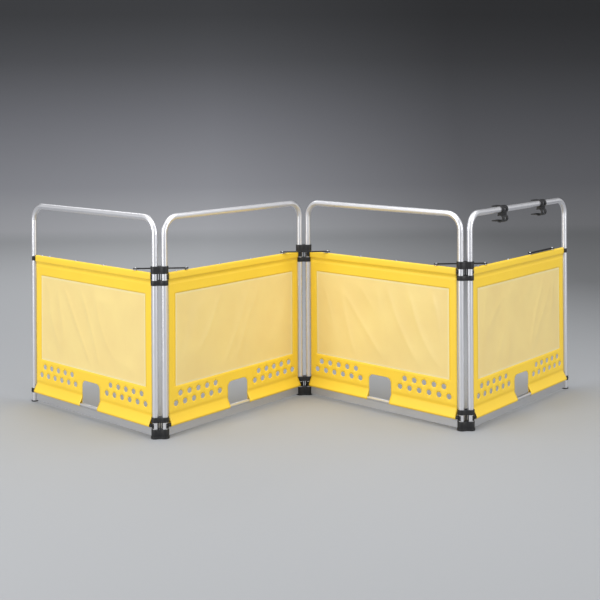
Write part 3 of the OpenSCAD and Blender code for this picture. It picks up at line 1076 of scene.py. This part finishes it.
class BARRIER_OT_links(bpy.types.Operator):
    """Makes the flat stay links that lock the corners"""

    bl_idname = "barrier.links"
    bl_label = "Make Stay Links"

    def execute(self, context):
        sizes = context.scene.barrier_fittings
        coat = black_coating()
        start = LINK_END_R * LINK_NECK_START
        for n in PANELS:
            low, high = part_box(f"stay_link_{n}")
            snap_low, snap_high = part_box(f"link_snap_{n}")
            snap = (snap_low + snap_high) / 2
            pivot = panel_matrix(n) @ Vector((LINK_PIVOT_X, 0, 0))
            reach = Vector((snap.x - pivot.x, snap.y - pivot.y))
            length, turn = reach.length, math.atan2(reach.y, reach.x)
            outline = swing(0.0, 0.0, LINK_END_R, LINK_END_FROM, LINK_END_TURN, ROUND_STEPS)
            outline += [(start, -LINK_NECK), (length - start, -LINK_NECK)]
            outline += swing(
                length, 0.0, LINK_END_R, LINK_END_FROM - math.pi, LINK_END_TURN, ROUND_STEPS
            )
            outline += [(length - start, LINK_NECK), (start, LINK_NECK)]
            holes = [circle(x, 0, LINK_POST_R, ROUND_STEPS) for x in (0.0, length)]
            at = Matrix.Translation((pivot.x, pivot.y, 0)) @ Matrix.Rotation(turn, 4, "Z")
            strip = plate(outline, holes, high.z - low.z, sizes.link_edge, low.z)
            new_piece(
                f"stay_strip_{n}", joined("link", [strip], at), coat, f"link_{n}",
                "black_steel", f"stay_link_{n}",
            )
        return {"FINISHED"}


CAMERA_AT = (-0.3752, -5.0472, 1.4946)
CAMERA_YAW = 0.0659
CAMERA_ROLL = -0.0053
CAMERA_FAR = 60
SENSOR = 36
LENS = 62.835
SHIFT_X = 0.0018
SHIFT_Y = -0.3272

# Soft boxes: name, place, the point that each faces, its two sides, and its power in watts.
LIGHTS = (
    ("Overhead", (0.0, -0.6, 3.6), (0.0, 0.1, 0.3), (4.5, 2.4), 80),
    ("Left", (-4.4, -3.4, 1.9), (0.0, 0.0, 0.6), (1.6, 2.6), 130),
    ("Right", (4.2, -3.6, 1.9), (0.0, 0.0, 0.6), (1.2, 2.6), 80),
    ("Behind", (-1.0, 4.6, 3.4), (-0.6, 4.2, 0.0), (5.0, 2.0), 70),
)
AIR = linear("#F2F3F5")
AIR_STRENGTH = 0.7

# The backdrop: the floor's rows from its front edge to its bend, then the bend and the wall.
SWEEP_FLOOR = (-9.0, -3.0, 6.5)
SWEEP_BEND = 2.5
SWEEP_STEPS = 16
SWEEP_TOP = 9.0
SWEEP_HALF = 14.0


class BARRIER_OT_stage(bpy.types.Operator):
    """Makes the floor and backdrop, the studio lights and the camera"""

    bl_idname = "barrier.stage"
    bl_label = "Make Stage"

    def execute(self, context):
        scene = context.scene
        make_sweep(studio_paper())
        for light in LIGHTS:
            soft_light(*light)
        world = bpy.data.worlds.new("Studio")
        world.use_nodes = True
        back = world.node_tree.nodes["Background"]
        back.inputs["Color"].default_value = (*AIR, 1)
        back.inputs["Strength"].default_value = AIR_STRENGTH
        scene.world = world
        scene.view_settings.view_transform = "Standard"
        camera = bpy.data.cameras.new("Camera")
        camera.lens = LENS
        camera.sensor_width = SENSOR
        camera.shift_x = SHIFT_X
        camera.shift_y = SHIFT_Y
        camera.clip_end = CAMERA_FAR
        holder = bpy.data.objects.new("Camera", camera)
        scene.collection.objects.link(holder)
        turn = Matrix.Rotation(-CAMERA_YAW, 4, "Z") @ Matrix.Rotation(math.radians(90), 4, "X")
        turn = turn @ Matrix.Rotation(CAMERA_ROLL, 4, "Z")
        holder.matrix_world = Matrix.Translation(CAMERA_AT) @ turn
        scene.camera = holder
        return {"FINISHED"}


def make_sweep(paper):
    """A floor that curves up into a backdrop."""
    bend = SWEEP_FLOOR[-1]
    line = [(y, 0.0) for y in SWEEP_FLOOR]
    for i in range(1, SWEEP_STEPS + 1):
        a = math.pi / 2 * i / SWEEP_STEPS
        line.append((bend + SWEEP_BEND * math.sin(a), SWEEP_BEND * (1 - math.cos(a))))
    line.append((bend + SWEEP_BEND, SWEEP_TOP))
    points = [(x, y, z) for y, z in line for x in (-SWEEP_HALF, SWEEP_HALF)]
    faces = [(2 * i, 2 * i + 1, 2 * i + 3, 2 * i + 2) for i in range(len(line) - 1)]
    mesh = bpy.data.meshes.new("backdrop")
    mesh.from_pydata(points, [], faces)
    mesh.shade_smooth()
    mesh.materials.append(paper)
    sweep = bpy.data.objects.new("backdrop", mesh)
    bpy.context.scene.collection.objects.link(sweep)


def soft_light(name, at, towards, size, power):
    """A rectangular soft box that faces a point."""
    light = bpy.data.lights.new(name, "AREA")
    light.shape = "RECTANGLE"
    light.size, light.size_y = size
    light.energy = power
    lamp = bpy.data.objects.new(name, light)
    bpy.context.scene.collection.objects.link(lamp)
    lamp.location = at
    lamp.rotation_euler = (Vector(towards) - Vector(at)).to_track_quat("-Z", "Y").to_euler()


class BARRIER_PT_panel(bpy.types.Panel):
    """Lists the barrier's sizes and operators"""

    bl_idname = "BARRIER_PT_panel"
    bl_label = "Folding Barrier"
    bl_space_type = "VIEW_3D"
    bl_region_type = "UI"
    bl_category = "Barrier"

    def draw(self, context):
        for group in ("barrier_sheet", "barrier_fittings", "barrier_finishes"):
            values = getattr(context.scene, group)
            box = self.layout.box()
            for name in values.__annotations__:
                box.prop(values, name)
        for operator in OPERATORS:
            self.layout.operator(operator.bl_idname)


OPERATORS = (
    BARRIER_OT_metal,
    BARRIER_OT_fittings,
    BARRIER_OT_sheets,
    BARRIER_OT_hinges,
    BARRIER_OT_links,
    BARRIER_OT_stage,
)
CLASSES = (SheetSizes, FittingSizes, Finishes, *OPERATORS, BARRIER_PT_panel)


def register():
    """Makes the panel, the operators and their settings known to Blender."""
    for made in CLASSES:
        bpy.utils.register_class(made)
    bpy.types.Scene.barrier_sheet = PointerProperty(type=SheetSizes)
    bpy.types.Scene.barrier_fittings = PointerProperty(type=FittingSizes)
    bpy.types.Scene.barrier_finishes = PointerProperty(type=Finishes)


def unregister():
    """Takes the settings, the operators and the panel out of Blender."""
    for name in ("barrier_sheet", "barrier_fittings", "barrier_finishes"):
        delattr(bpy.types.Scene, name)
    for made in reversed(CLASSES):
        bpy.utils.unregister_class(made)


def main():
    """Builds the whole barrier and its stage."""
    register()
    bpy.ops.barrier.metal()
    bpy.ops.barrier.fittings()
    bpy.ops.barrier.sheets()
    bpy.ops.barrier.hinges()
    bpy.ops.barrier.links()
    bpy.ops.barrier.stage()


if __name__ == "__main__":
    main()
